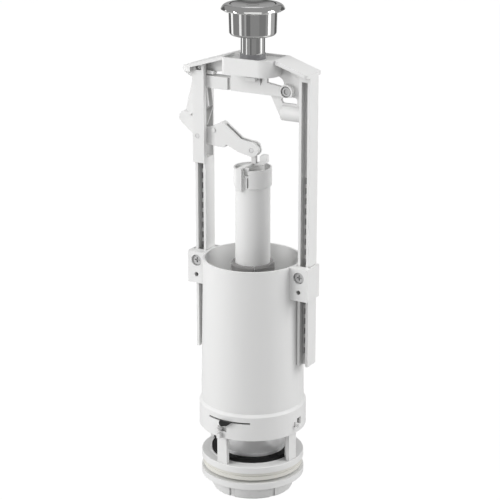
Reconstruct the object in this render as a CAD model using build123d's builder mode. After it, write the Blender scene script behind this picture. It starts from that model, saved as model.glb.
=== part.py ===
"""Toilet flush valve: a lifting outlet valve worked by a push button through a rocker,
a push link and a bell crank, with a sliding yoke for the height of the tank.

Millimetres. X runs from rail to rail, Y runs to the back and Z runs up.
The origin is the middle of the outlet mouth, on the axis of the housing tube.
"""
import os
from math import asin, cos, degrees, radians, sin, tan

from build123d import *

# Clearances
fit = 0.05
running = 0.1
gap = 0.3
slide = 0.35

# Outlet, flange and nut
outlet_bore_r = 25.5
throat_r = 27.0
spigot_r = 29.8
tank_floor_space = 2.7
flange_thick = 5.5
flange_r = 43.5
seat_height = 0.5
seat_r = 36.0
gasket_thick = 6.7
gasket_r = 42.3
nut_height = 12.7
nut_r = 34.3
nut_flange_thick = 5.3
nut_flange_r = 43.6
nut_groove_count = 6
nut_groove_width = 5.0
nut_groove_depth = 1.2
nut_groove_angle = -31.5

# Cage of pillars above the flange
pillar_count = 4
pillar_angle = -8.3
pillar_clearance = 1.2
pillar_thick = 3.4
pillar_width = 9.9
pillar_web_width = 3.2
pillar_web_depth = 3.6
cage_ring_height = 8.0
cage_margin = 3.7
bayonet_pin_r = 1.75
bayonet_pin_rise = 7.8
bayonet_pin_out = 4.35
bayonet_turn = 6.0
entry_from = 3.0
entry_to = 10.5
entry_half = 4.4

# Housing tube and its skirt
skirt_rise = 25.1
skirt_height = 20.5
skirt_r = 45.25
skirt_wall = 1.75
shoulder_height = 2.4
tube_r_low = 43.45
tube_r_top = 41.45
tube_height = 123.6
tube_wall = 1.6
stop_block_angle = -96.9
stop_block_width = 3.2
stop_block_height = 4.2
stop_block_reach = 3.8

# Flow slider ring under the skirt
slider_play = 1.5
slider_wall = 1.6
slider_slot_drop = 2.0
slider_slot_height = 1.5
slider_slot_from = -114.0
slider_slot_to = -63.5
slider_stem_width = 4.0
slider_knob_angle = -94.1
slider_knob_drop = 1.8
slider_knob_width = 12.4
slider_knob_height = 5.2
slider_knob_reach = 2.2

# Rails and the guides that hold them
rail_tube_gap = 0.05
rail_width = 9.8
rail_front = -2.35
rail_depth = 14.3
rail_length = 163.0
rail_flange = 2.3
rail_groove_depth = 5.6
rack_pitch = 8.6
rack_gap = 5.2
rack_depth = 0.8
tenon_width = 4.4
tenon_depth = 5.0
tenon_height = 3.2
guide_height = 27.6
guide_front_wall = 7.7
guide_outer_play = 1.1
guide_outer_wall = 2.2
guide_back_step = 1.6
guide_back_wall = 1.8
guide_back_inset = 2.4
guide_back_width = 22.0
guide_relief_r = 1.1
rail_screw_drop = 7.8
rail_screw_head_r = 4.3
rail_screw_head_play = 0.55
rail_screw_r = 2.0
rail_screw_head = 2.4
rail_screw_sink = 1.6
cross_length = 4.6
cross_width = 1.2
guide_hole_r = 1.9
guide_hole_drop = 20.1
guide_hole_depth = 5.0

# Yoke: the pocket for the button, its arms and its legs
frame_rise = 75.5
leg_length = 80.4
pocket_left = -21.0
pocket_right = 24.6
pocket_front = -15.8
pocket_back = 16.0
pocket_height = 13.7
pocket_wall = 1.7
pocket_floor = 2.0
pocket_corner_right = 12.0
pocket_corner_left = 3.5
pocket_corner_back = 2.0
arm_slope = 18.0
arm_front = -8.0
arm_thick = 2.8
arm_corner = 3.0
leg_width = 10.8
leg_bulge = 2.2
leg_wall = 1.9
leg_floor = 4.0
leg_channel_drop = 2.4
leg_window_shift = 0.45
leg_window_width = 5.5
leg_window_drop = 2.2
leg_window_height = 3.4
hood_flat = 1.0
hood_straight = 0.2
hood_wall = 3.0
cheek_drop = 1.5
cheek_foot_drop = 6.2

# Webs of the yoke: on the right with the rocker's pivot, on the left in two planes with a lug
gusset_thick = 2.8
gusset_left = 14.5
gusset_foot_x = 24.4
gusset_foot_drop = 19.4
arch_x = 19.7
arch_rise = 4.0
arch_r = 7.4
arch_drop = 1.0
window_left = 24.4
window_right = 38.8
window_drop = 5.8
window_height = 5.4
bead_r = 6.5
bead_drop = 13.6
bead_left = 25.6
pivot_boss_r = 4.1
web_drop = 1.2
web_rise = 2.4
web_split = 2.5
web_set_back = 1.8
lug_inset = 0.6
lug_width = 6.0
lug_rise = 1.3
lug_height = 2.9

# Rocker under the pocket
rocker_drop = 6.8
rocker_height = 10.2
rocker_pivot_x = 30.6
rocker_pivot_rise = 4.6
rocker_thick = 3.0
rocker_neck_x = 13.0
rocker_tip_inset = 1.7
rocker_nose = 3.0
rocker_block_end = -23.6
rocker_block_thick = 9.1
rocker_groove = -20.6
rocker_groove_depth = 1.5
saddle_height = 3.6
pad_half = 4.6
pad_thick = 3.0
vee_left = 6.2
vee_right = 9.3
vee_foot_x = 7.1
vee_height = 7.1
vee_depth = 2.0
rocker_hub_r = 6.0
rocker_hub_proud = 1.0
rocker_bore_r = 4.6
rocker_bore_depth = 2.6
rocker_screw_head_r = 3.7
rocker_screw_head = 1.6
rocker_screw_r = 2.0
rocker_recess_r = 2.2
rocker_recess_depth = 0.8

# Push link in the left leg: corners from the middle of the leg and the height of the seat
link_plate = 2.0
link_step_x = -4.5
link_step_height = 7.9
link_edge = [(-7.8, 7.9), (-8.1, 4.8), (-14.0, -18.5)]
link_toe = (-11.5, -18.9)
link_sole = [(-7.5, -22.8), (-3.1, -22.8)]
link_heel = [(6.9, -15.1), (5.2, 0.0)]
link_web_side = [(0.4, -20.1), (0.4, 0.0)]
link_foot_width = 2.0

# Bell crank: corners from its pivot, and those of its tail from the end pin
crank_pivot_inset = 1.0
crank_pivot_drop = 40.3
crank_pin_r = 2.0
crank_play = 1.35
crank_thick = 7.2
crank_plate = 2.0
crank_hub_r = 5.0
crank_tip_out = 15.1
crank_tip_rise = 13.0
crank_tip_r = 5.5
crank_upper = [(8.5, 7.2), (19.3, 12.9), (21.5, 12.2), (37.3, 0.6)]
crank_tail = [(-1.8, 6.9), (0.0, -5.3)]
crank_lower = [(35.5, -10.5), (24.8, -5.7), (21.4, -8.6), (12.5, -7.9), (6.5, -7.1)]
crank_slot_start = 22.4
crank_end_x = -2.0
crank_end_drop = 7.7
crank_end_rise = 0.8
crank_end_r = 6.2
end_pin_r = 2.05
peg_x = 12.5
peg_z = 5.3
peg_r = 1.75
peg_reach = 0.9
pin_bevel = 0.45

# Overflow tube, its cap and the hanger on it
overflow_r = 14.5
overflow_wall = 1.5
overflow_length_in_neck = 91.4
overflow_drop = 6.2
overflow_slit = 2.0
overflow_slit_angle = -76.0
overflow_slit_depth = 8.5
cap_r = 15.75
cap_drop = 12.9
cap_height = 15.7
cap_bevel = 0.8
cap_slot_from = -90.0
cap_slot_to = -74.0
hanger_left = -5.5
hanger_width = 4.4
hanger_strap = 1.5
hanger_strap_back = 8.0
hanger_hook_drop = 17.2
hanger_tab_y = -13.0
hanger_tab_right = 3.2
hanger_tab_drop = 3.7
hanger_stem_left = 1.2
hanger_stem_right = 3.0
hanger_eye_r = 4.3
fin_left = 4.4
fin_right = 11.0
fin_front = 3.4
fin_thick = 4.0
fin_rise = 3.2
fin_height = 6.3
fin_bevel = 1.6
fin_leg_width = 2.6
fin_leg_drop = 4.2
eye_play = 1.2

# Bell, collar, seal and retainer
bell_neck_wall = 2.0
bell_rim_r = 27.9
bell_rim_height = 3.0
bell_flare_r = 19.5
bell_flare_rise = 7.8
bell_flare_height = 15.8
bell_spigot_r = 18.0
bell_neck_drop = 5.1
collar_r = 18.35
collar_height = 15.0
collar_over = 1.6
collar_bevel = 1.3
collar_slit_angle = -55.8
collar_slit = 1.4
seal_r = 34.8
seal_thick = 2.5
retainer_r = 24.6
retainer_height = 2.8

# Push button with its bezel, stem, rod and spring
bezel_r = 26.05
bezel_edge = 0.9
bezel_height = 4.5
cup_r = 19.95
cup_taper = 0.5
cup_height = 20.3
cup_wall = 1.2
cup_floor = 2.0
cup_round = 2.6
button_sink = 0.2
button_dish = 0.9
button_bevel = 0.5
dimple_r = 5.5
dimple_depth = 0.8
button_skirt = 9.0
button_wall = 1.4
button_boss_r = 5.0
button_boss_depth = 9.0
stem_length = 29.2
stem_r = 10.0
stem_wall = 2.4
stem_nut_r = 11.0
stem_nut_height = 4.2
stem_spigot_r = 8.6
rod_r = 3.0
rod_grip = 5.0
spring_r = 8.6
spring_wire_r = 0.6
spring_turns = 5
spring_sides = 6

# Heights, from the outlet up to the button
flange_bottom = nut_height + nut_flange_thick + tank_floor_space + gasket_thick
flange_top = flange_bottom + flange_thick
seat_top = flange_top + seat_height
seal_bottom = seat_top + gap
bell_bottom = seal_bottom + seal_thick
skirt_bottom = flange_top + skirt_rise
skirt_top = skirt_bottom + skirt_height
shoulder_top = skirt_top + shoulder_height
tube_top = shoulder_top + tube_height
bayonet_pin_z = skirt_bottom + bayonet_pin_rise
cage_top = bayonet_pin_z + cage_margin
slider_bottom = cage_top + gap
slider_height = skirt_top - slider_wall - slider_play - slider_bottom
slider_slot_z = slider_bottom + slider_height - slider_slot_drop
slider_knob_z = slider_slot_z - slider_knob_drop
guide_bottom = tube_top - guide_height
rail_screw_z = tube_top - rail_screw_drop
guide_hole_z = tube_top - guide_hole_drop
bell_neck_top = tube_top - bell_neck_drop
collar_top = bell_neck_top + collar_over
collar_bottom = collar_top - collar_height
leg_bottom = tube_top + frame_rise
rail_bottom = leg_bottom - rail_length
pocket_bottom = leg_bottom + leg_length
pocket_floor_top = pocket_bottom + pocket_floor
pocket_top = pocket_bottom + pocket_height
rocker_top = pocket_bottom - rocker_drop
rocker_bottom = rocker_top - rocker_height
rocker_pivot_z = rocker_bottom + rocker_pivot_rise
saddle_top = rocker_top + saddle_height
link_seat = rocker_bottom - gap
crank_pivot_z = link_seat - crank_pivot_drop
crank_end_z = crank_pivot_z - crank_end_drop
cap_top = crank_end_z - cap_drop
cap_bottom = cap_top - cap_height
overflow_top = cap_top - overflow_drop
overflow_bottom = bell_neck_top - overflow_length_in_neck
cup_bottom = pocket_floor_top + stem_length
bezel_under = cup_bottom + cup_height
bezel_top = bezel_under + bezel_height
button_top = bezel_top - button_sink
rod_bottom = saddle_top + gap

# Radii, widths and depths that follow from the values above
pillar_r = skirt_r - skirt_wall - pillar_clearance
bayonet_pin_reach = skirt_r + bayonet_pin_out
bell_bore_r = overflow_r + slide
bell_neck_r = bell_bore_r + bell_neck_wall
rail_back = rail_front + rail_depth
groove_width = rail_width - 2 * rail_flange
web_front = rail_front + rail_groove_depth
tenon_y = rail_back - tenon_depth
rail_x = max(tube_r_low, tube_r_top) + rail_tube_gap + rail_width / 2
channel_inner = rail_x - rail_width / 2 - slide
channel_outer = rail_x + rail_width / 2 + guide_outer_play
channel_front = rail_front - slide
channel_back = rail_back + slide
guide_outer_x = channel_outer + guide_outer_wall
guide_front = channel_front - guide_front_wall
guide_back = channel_back - guide_back_step
guide_back_x = channel_outer - guide_back_inset - guide_back_width / 2
leg_inner = rail_x - rail_width / 2
leg_outer = leg_inner + leg_width
leg_middle = -(leg_inner + leg_outer) / 2
leg_front = rail_front - leg_bulge
right_leg_outer = leg_inner + rail_width
cavity_front = rail_front + leg_wall
cavity_back = rail_back - leg_wall
hood_corner = (pocket_back - arm_front - hood_flat) / 2
hood_reach = hood_corner + hood_straight
hood_end = -leg_outer - hood_reach
rocker_front = cavity_front + slide
rocker_tip = leg_middle - rocker_tip_inset
hub_front = rocker_front - rocker_hub_proud
screw_front = hub_front + rocker_bore_depth - running - rocker_screw_head
gusset_front = rocker_front + rocker_thick + gap
web_end = web_split - leg_inner
crank_pivot_x = leg_middle - crank_pivot_inset
crank_front = cavity_front + crank_play
crank_back = crank_front + crank_thick
slot_front = crank_front + crank_plate
slot_back = crank_back - crank_plate
arm_drop = tan(radians(arm_slope))

os.makedirs("parts", exist_ok=True)


def upright(y):
    """The XZ plane at depth y, facing the front. A negative extrude goes to the back."""
    return Plane.XZ.offset(-y)


def outline(points):
    """Fill the closed outline through the points."""
    Polygon(*points, align=None)


def shifted(points, x, z):
    """The points moved by x and z."""
    return [(x + across, z + rise) for across, rise in points]


def around(radius, angle, height):
    """A plane that stands on a circle about the axis and faces outwards."""
    turn = radians(angle)
    outward = (cos(turn), sin(turn), 0)
    across = (-sin(turn), cos(turn), 0)
    return Plane(origin=(radius * cos(turn), radius * sin(turn), height), x_dir=across, z_dir=outward)


def wedge(start, stop):
    """Fill a sector about the axis between two angles, past every wall."""
    corners = [Vector(2 * skirt_r, 0).rotate(Axis.Z, angle) for angle in (start, (start + stop) / 2, stop)]
    outline([(0, 0)] + [(corner.X, corner.Y) for corner in corners])


def save(part, label):
    """Name the piece and write it."""
    part.label = label
    export_step(part, f"parts/{label}.step")


def arm_top(x):
    """Height of the sloping arm at x, on either side of the pocket."""
    start = pocket_right if x > 0 else -pocket_left
    return pocket_top - (abs(x) - start) * arm_drop


pillar_angles = [pillar_angle + turn * 360 / pillar_count for turn in range(pillar_count)]

# Base cage: threaded spigot, flange with its seat, and the pillars that carry the housing
pillar_web_r = pillar_r - pillar_thick - pillar_web_depth / 2
with BuildPart() as base_cage:
    with BuildSketch(Plane.XZ):
        outline([
            (outlet_bore_r, 0),
            (spigot_r, 0),
            (spigot_r, flange_bottom),
            (flange_r, flange_bottom),
            (flange_r, flange_top - seat_height),
            (flange_r - seat_height, flange_top),
            (seat_r, flange_top),
            (seat_r - seat_height, seat_top),
            (throat_r, seat_top),
            (throat_r, flange_bottom + throat_r - outlet_bore_r),
            (outlet_bore_r, flange_bottom),
        ])
    revolve(axis=Axis.Z)
    with BuildSketch(Plane.XY.offset(flange_top)):
        with PolarLocations(pillar_r - pillar_thick / 2, pillar_count, start_angle=pillar_angle):
            Rectangle(pillar_thick, pillar_width)
        with PolarLocations(pillar_web_r, pillar_count, start_angle=pillar_angle):
            Rectangle(pillar_web_depth, pillar_web_width)
    extrude(amount=cage_top - flange_top)
    with BuildSketch(Plane.XY.offset(cage_top - cage_ring_height)):
        Circle(pillar_r - gap)
        Circle(pillar_r - pillar_thick, mode=Mode.SUBTRACT)
    extrude(amount=cage_ring_height)
    for angle in pillar_angles:
        with BuildSketch(around(pillar_r - pillar_thick / 2, angle, bayonet_pin_z)):
            Circle(bayonet_pin_r)
        extrude(amount=bayonet_pin_reach - pillar_r + pillar_thick / 2)
save(base_cage.part, "base_cage")

# Gasket under the flange
with BuildPart() as base_gasket:
    with BuildSketch(Plane.XY.offset(flange_bottom - gasket_thick)):
        Circle(gasket_r)
        Circle(spigot_r + gap, mode=Mode.SUBTRACT)
    extrude(amount=gasket_thick)
    outer_edges = base_gasket.edges().filter_by(GeomType.CIRCLE).group_by(SortBy.RADIUS)[-1]
    chamfer(outer_edges.sort_by(Axis.Z)[0], seat_height)
save(base_gasket.part, "base_gasket")

# Nut below the tank: a grip ring with grooves and a wide flange
with BuildPart() as outlet_nut:
    with BuildSketch(Plane.XZ):
        outline([
            (spigot_r + gap, 0),
            (nut_r - nut_groove_depth / 2, 0),
            (nut_r, nut_groove_depth),
            (nut_r, nut_height),
            (nut_flange_r, nut_height),
            (nut_flange_r, nut_height + nut_flange_thick),
            (spigot_r + gap, nut_height + nut_flange_thick),
        ])
    revolve(axis=Axis.Z)
    with BuildSketch():
        with PolarLocations(nut_r, nut_groove_count, start_angle=nut_groove_angle):
            Rectangle(2 * nut_groove_depth, nut_groove_width)
    extrude(amount=nut_height, mode=Mode.SUBTRACT)
save(outlet_nut.part, "outlet_nut")

# Housing tube with its skirt, bayonet windows, slider slot and the two rail guides
slot_middle = (slider_slot_from + slider_slot_to) / 2
slot_half = (slider_slot_to - slider_slot_from) / 2
window_from = -degrees(asin((bayonet_pin_r + gap) / skirt_r))
window_to = bayonet_turn - window_from
channel_middle = (channel_inner + channel_outer) / 2
stop_block = around(skirt_r - skirt_wall / 2, stop_block_angle, skirt_bottom + stop_block_height / 2)
with BuildPart() as housing_tube:
    with BuildSketch(Plane.XZ):
        outline([
            (0, skirt_bottom),
            (skirt_r, skirt_bottom),
            (skirt_r, skirt_top),
            (tube_r_low, shoulder_top),
            (tube_r_top, tube_top),
            (0, tube_top),
        ])
    revolve(axis=Axis.Z)
    for side in (-1, 1):
        with BuildSketch(Plane.XY.offset(guide_bottom)):
            with Locations((side * (guide_outer_x + tube_r_top / 2) / 2, (guide_front + guide_back) / 2)):
                Rectangle(guide_outer_x - tube_r_top / 2, guide_back - guide_front)
            with Locations((side * guide_back_x, channel_back + guide_back_wall / 2)):
                Rectangle(guide_back_width, guide_back_wall)
        extrude(amount=guide_height)
    with BuildSketch(Plane.XZ):
        outline([
            (0, skirt_bottom),
            (skirt_r - skirt_wall, skirt_bottom),
            (skirt_r - skirt_wall, skirt_top - slider_wall),
            (tube_r_low - tube_wall, shoulder_top),
            (tube_r_top - tube_wall, tube_top),
            (0, tube_top),
        ])
    revolve(axis=Axis.Z, mode=Mode.SUBTRACT)
    for side in (-1, 1):
        with BuildSketch(Plane.XY.offset(guide_bottom)):
            with Locations((side * channel_middle, (channel_front + channel_back) / 2)):
                Rectangle(channel_outer - channel_inner, channel_back - channel_front)
            with Locations((side * channel_inner, channel_front), (side * channel_outer, channel_front)):
                Circle(guide_relief_r)
        extrude(amount=guide_height, mode=Mode.SUBTRACT)
        with BuildSketch(upright(guide_front)):
            with Locations((side * rail_x, rail_screw_z)):
                Circle(rail_screw_head_r + rail_screw_head_play)
        extrude(amount=-(rail_screw_head + rail_screw_sink), mode=Mode.SUBTRACT)
        with BuildSketch(upright(guide_front)):
            with Locations((side * rail_x, rail_screw_z)):
                Circle(rail_screw_r + running)
        extrude(amount=-(channel_front - guide_front), mode=Mode.SUBTRACT)
        with BuildSketch(upright(guide_front)):
            with Locations((side * rail_x, guide_hole_z)):
                Circle(guide_hole_r)
        extrude(amount=-guide_hole_depth, mode=Mode.SUBTRACT)
    for angle in pillar_angles:
        with BuildSketch(Plane.XY.offset(bayonet_pin_z - bayonet_pin_r - gap)):
            wedge(angle + window_from, angle + window_to)
        extrude(amount=2 * (bayonet_pin_r + gap), mode=Mode.SUBTRACT)
    for angle in pillar_angles[::2]:
        with BuildSketch(Plane.XY.offset(bayonet_pin_z - entry_half)):
            wedge(angle + entry_from, angle + entry_to)
        extrude(amount=2 * entry_half, mode=Mode.SUBTRACT)
    with BuildSketch(Plane.XY.offset(slider_slot_z - slider_slot_height / 2)):
        wedge(slot_middle - slot_half, slot_middle + slot_half)
    extrude(amount=slider_slot_height, mode=Mode.SUBTRACT)
    with BuildSketch(stop_block):
        Rectangle(stop_block_width, stop_block_height)
    extrude(amount=skirt_wall / 2 + stop_block_reach)
save(housing_tube.part, "housing_tube")

# Flow slider: a ring on top of the cage, with a stem and a drop-shaped knob outside the slot
slider_r = skirt_r - skirt_wall - gap
knob_blunt = slider_knob_height / 2
knob_point = slider_knob_width - knob_blunt
with BuildPart() as flow_slider:
    with BuildSketch(Plane.XY.offset(slider_bottom)):
        Circle(slider_r)
        Circle(slider_r - slider_wall, mode=Mode.SUBTRACT)
    extrude(amount=slider_height)
    with BuildSketch(around(0, slider_knob_angle, slider_slot_z)):
        Rectangle(slider_stem_width, slider_slot_height - 2 * gap)
    extrude(amount=skirt_r + slider_knob_reach)
    with BuildSketch(around(0, slider_knob_angle, slider_knob_z)):
        Circle(knob_blunt)
        outline([
            (0, knob_blunt),
            (0, -knob_blunt),
            (knob_point / 2, -knob_blunt / 2),
            (knob_point, knob_blunt),
        ])
    extrude(amount=skirt_r + slider_knob_reach)
    with BuildSketch(Plane.XY.offset(slider_bottom - slider_knob_height)):
        Circle(slider_r - slider_wall)
    extrude(amount=3 * slider_knob_height, mode=Mode.SUBTRACT)
    with BuildSketch(Plane.XY.offset(slider_bottom - slider_knob_height)):
        Circle(skirt_r + gap)
        Circle(slider_r - slider_wall, mode=Mode.SUBTRACT)
    extrude(amount=slider_knob_height, mode=Mode.SUBTRACT)
    for bottom, top in (
        (slider_bottom - slider_knob_height, slider_slot_z - slider_slot_height / 2 + gap),
        (slider_slot_z + slider_slot_height / 2 - gap, slider_slot_z + 2 * slider_knob_height),
    ):
        with BuildSketch(Plane.XY.offset(bottom)):
            Circle(skirt_r + gap)
            Circle(slider_r, mode=Mode.SUBTRACT)
        extrude(amount=top - bottom, mode=Mode.SUBTRACT)
    with BuildSketch(Plane.XY.offset(slider_slot_z - slider_slot_height / 2)):
        Circle(skirt_r + gap)
        Circle(slider_r, mode=Mode.SUBTRACT)
        with Locations(Location((0, 0, 0), (0, 0, slider_knob_angle))):
            Rectangle(2 * skirt_r, slider_stem_width, align=(Align.MIN, Align.CENTER), mode=Mode.SUBTRACT)
    extrude(amount=slider_slot_height, mode=Mode.SUBTRACT)
save(flow_slider.part, "flow_slider")

# Rails: channels with a rack on the web, each with a tenon that enters the leg above it
for name, side in (("left_rail", -1), ("right_rail", 1)):
    with BuildPart() as rail:
        with BuildSketch(Plane.XY.offset(rail_bottom)):
            with Locations((side * rail_x, rail_front + rail_depth / 2)):
                Rectangle(rail_width, rail_depth)
            with Locations((side * rail_x, rail_front + rail_groove_depth / 2)):
                Rectangle(groove_width, rail_groove_depth, mode=Mode.SUBTRACT)
        extrude(amount=leg_bottom - rail_bottom)
        with BuildSketch(Plane.XY.offset(leg_bottom)):
            with Locations((side * rail_x, tenon_y)):
                Rectangle(tenon_width, tenon_depth)
        extrude(amount=tenon_height)
        tooth_count = int((leg_bottom - rail_bottom) / rack_pitch)
        with BuildSketch(upright(web_front)):
            with Locations(*[
                (side * rail_x, leg_bottom - (tooth + 0.5) * rack_pitch) for tooth in range(tooth_count)
            ]):
                Rectangle(groove_width, rack_gap)
        extrude(amount=-rack_depth, mode=Mode.SUBTRACT)
    save(rail.part, name)

# Locking screws of the rails, one in each guide, with a cross recess
screw_face = guide_front + rail_screw_sink
with BuildPart() as rail_screws:
    for side in (-1, 1):
        with BuildSketch(upright(screw_face)):
            with Locations((side * rail_x, rail_screw_z)):
                Circle(rail_screw_head_r)
        extrude(amount=-rail_screw_head)
        with BuildSketch(upright(screw_face)):
            with Locations((side * rail_x, rail_screw_z)):
                Circle(rail_screw_r)
        extrude(amount=-(web_front - gap - screw_face))
        with BuildSketch(upright(screw_face)):
            with Locations((side * rail_x, rail_screw_z)):
                Rectangle(cross_length, cross_width)
                Rectangle(cross_width, cross_length)
        extrude(amount=-rail_screw_head / 2, mode=Mode.SUBTRACT)
save(rail_screws.part, "rail_screws")

# Plans of the pocket, of its hollow and of the rounded end of the left arm
with BuildSketch() as pocket_plan:
    with Locations(((pocket_left + pocket_right) / 2, (pocket_front + pocket_back) / 2)):
        Rectangle(pocket_right - pocket_left, pocket_back - pocket_front)
    fillet(pocket_plan.vertices().group_by(Axis.Y)[0].sort_by(Axis.X)[0], pocket_corner_left)
    fillet(pocket_plan.vertices().group_by(Axis.Y)[0].sort_by(Axis.X)[-1], pocket_corner_right)
    fillet(pocket_plan.vertices().group_by(Axis.Y)[-1], pocket_corner_back)
with BuildSketch() as pocket_hollow:
    add(pocket_plan.sketch)
    offset(amount=-pocket_wall)
with BuildSketch() as hood_plan:
    with Locations((-leg_outer, (arm_front + pocket_back) / 2)):
        Rectangle(hood_reach, pocket_back - arm_front, align=(Align.MAX, Align.CENTER))
    fillet(hood_plan.vertices().group_by(Axis.X)[0], hood_corner)

# Yoke: pocket, sloping arms, webs and the two legs, in one moulding
hood_lip = arm_top(hood_end) - arm_thick
cheek_left = hood_end + hood_wall
arch_z = rocker_pivot_z + arch_rise
arch_from = -degrees(asin(arch_drop / arch_r))
web_low = rocker_top + web_rise
with BuildPart() as yoke:
    with BuildSketch(Plane.XY.offset(hood_lip)):
        add(hood_plan.sketch)
    extrude(amount=arm_top(-leg_outer) - hood_lip)
    with BuildSketch(upright(arm_front - arm_thick)):
        outline([
            (hood_end - arm_thick, arm_top(hood_end - arm_thick)),
            (-leg_outer, arm_top(-leg_outer)),
            (-leg_outer, pocket_top),
            (hood_end - arm_thick, pocket_top),
        ])
    extrude(amount=-(pocket_back - arm_front + 2 * arm_thick), mode=Mode.SUBTRACT)
    with BuildSketch(upright(cavity_front)):
        outline([
            (cheek_left, hood_lip),
            (-leg_outer, hood_lip),
            (-leg_outer, arm_top(-leg_outer) - arm_thick),
            (cheek_left, arm_top(cheek_left) - arm_thick),
        ])
    extrude(amount=-(cavity_back - cavity_front), mode=Mode.SUBTRACT)
    for points in (
        [
            (pocket_right - pocket_wall, pocket_top),
            (pocket_right, pocket_top),
            (right_leg_outer, arm_top(right_leg_outer)),
            (right_leg_outer, arm_top(right_leg_outer) - arm_thick),
            (pocket_right - pocket_wall, pocket_top - arm_thick),
        ],
        [
            (pocket_left + pocket_wall, pocket_top),
            (pocket_left, pocket_top),
            (-leg_outer, arm_top(-leg_outer)),
            (-leg_outer, arm_top(-leg_outer) - arm_thick),
            (pocket_left + pocket_wall, pocket_top - arm_thick),
        ],
    ):
        with BuildSketch(upright(arm_front)):
            outline(points)
        extrude(amount=-(pocket_back - arm_front))
    fillet(yoke.edges().filter_by(Axis.Z).group_by(Axis.X)[-1].sort_by(Axis.Y)[0], arm_corner)
    with BuildSketch(Plane.XY.offset(pocket_bottom)):
        add(pocket_plan.sketch)
    extrude(amount=pocket_height)
    for wall_front, wall_back in ((leg_front, cavity_front), (cavity_back, rail_back)):
        with BuildSketch(upright(wall_front)):
            outline([
                (-leg_outer, leg_bottom),
                (-leg_inner, leg_bottom),
                (-leg_inner, arm_top(-leg_inner) - arm_thick / 2),
                (-leg_outer, arm_top(-leg_outer) - arm_thick / 2),
            ])
        extrude(amount=-(wall_back - wall_front))
    for cheek_front in (rail_front, cavity_back):
        with BuildSketch(upright(cheek_front)):
            outline([
                (cheek_left, hood_lip),
                (cheek_left, hood_lip - cheek_drop),
                (-leg_outer, hood_lip - cheek_foot_drop),
                (-leg_outer, hood_lip),
            ])
        extrude(amount=-leg_wall)
    with BuildSketch(Plane.XY.offset(leg_bottom)):
        with Locations((leg_middle, (leg_front + rail_back) / 2)):
            Rectangle(leg_width, rail_back - leg_front)
    extrude(amount=leg_floor)
    with BuildSketch(upright(rail_front)):
        outline([
            (leg_inner, leg_bottom),
            (right_leg_outer, leg_bottom),
            (right_leg_outer, arm_top(right_leg_outer) - arm_thick / 2),
            (leg_inner, arm_top(leg_inner) - arm_thick / 2),
        ])
    extrude(amount=-rail_depth)
    with BuildSketch(Plane.XY.offset(leg_bottom)):
        with Locations((rail_x, rail_front + rail_groove_depth / 2)):
            Rectangle(groove_width, rail_groove_depth)
    extrude(amount=leg_length - leg_channel_drop, mode=Mode.SUBTRACT)
    with BuildSketch(Plane.XY.offset(leg_bottom)):
        with Locations((-rail_x, tenon_y), (rail_x, tenon_y)):
            Rectangle(tenon_width + 2 * fit, tenon_depth + 2 * fit)
    extrude(amount=tenon_height + gap, mode=Mode.SUBTRACT)
    with BuildSketch(upright(gusset_front)):
        outline([
            (gusset_left, pocket_bottom + pocket_floor / 2),
            (gusset_left, rocker_bottom),
            (gusset_foot_x, rocker_bottom - gusset_foot_drop),
            (leg_inner + leg_wall, rocker_bottom - gusset_foot_drop),
            (leg_inner + leg_wall, arm_top(leg_inner) - arm_thick / 2),
            (pocket_right - pocket_wall / 2, pocket_top - arm_thick),
            (pocket_right - pocket_wall / 2, pocket_bottom + pocket_floor / 2),
        ])
        with Locations(((window_left + window_right) / 2, rocker_bottom - window_drop + window_height / 2)):
            RectangleRounded(
                window_right - window_left,
                window_height,
                window_height / 2 - gap,
                mode=Mode.SUBTRACT,
            )
    extrude(amount=-gusset_thick)
    with BuildSketch(upright(gusset_front)):
        with BuildLine():
            arch = CenterArc((arch_x, arch_z), arch_r, arch_from, 90 - arch_from)
            Polyline(
                arch @ 1,
                (gusset_left - gap, arch_z + arch_r),
                (gusset_left - gap, arch_z - arch_drop),
                arch @ 0,
            )
        make_face()
    extrude(amount=-gusset_thick, mode=Mode.SUBTRACT)
    with BuildSketch(Plane.YZ.offset(bead_left)):
        with Locations((gusset_front + gusset_thick / 2, rocker_bottom - bead_drop)):
            Circle(bead_r)
    extrude(amount=leg_inner - bead_left)
    with BuildSketch(upright(gusset_front)):
        with Locations((rocker_pivot_x, rocker_pivot_z)):
            Circle(pivot_boss_r)
    extrude(amount=-2 * gusset_thick)
    with BuildSketch(upright(gusset_front)):
        outline([
            (pocket_left + pocket_wall, pocket_bottom - web_drop),
            (web_end, web_low),
            (web_end, arm_top(web_end) - arm_thick / 2),
            (pocket_left + pocket_wall, pocket_top - arm_thick / 2),
        ])
    extrude(amount=-gusset_thick)
    with BuildSketch(upright(gusset_front + web_set_back)):
        outline([
            (web_end + gusset_thick, web_low + gap),
            (-leg_inner - leg_wall, web_low),
            (-leg_inner - leg_wall, arm_top(-leg_inner) - arm_thick / 2),
            (web_end + gusset_thick, arm_top(web_end + gusset_thick) - arm_thick / 2),
        ])
    extrude(amount=-gusset_thick)
    with BuildSketch(upright(rocker_front)):
        with Locations((lug_inset - leg_inner, rocker_top + lug_rise)):
            Rectangle(lug_width, lug_height, align=(Align.MIN, Align.MIN))
    extrude(amount=-(gusset_front + gusset_thick - rocker_front))
    with BuildSketch(Plane.XY.offset(pocket_floor_top)):
        add(pocket_hollow.sketch)
    extrude(amount=pocket_height - pocket_floor, mode=Mode.SUBTRACT)
    with BuildSketch(Plane.XY.offset(pocket_bottom)):
        Circle(stem_spigot_r + fit)
    extrude(amount=pocket_floor, mode=Mode.SUBTRACT)
    with BuildSketch(upright(leg_front)):
        with Locations((leg_middle + leg_window_shift, pocket_bottom - leg_window_drop)):
            Rectangle(leg_window_width, leg_window_height, align=(Align.CENTER, Align.MIN))
    extrude(amount=-(cavity_front - leg_front), mode=Mode.SUBTRACT)
    with BuildSketch(upright(leg_front)):
        with Locations((crank_pivot_x, crank_pivot_z)):
            Circle(crank_pin_r + fit)
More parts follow.
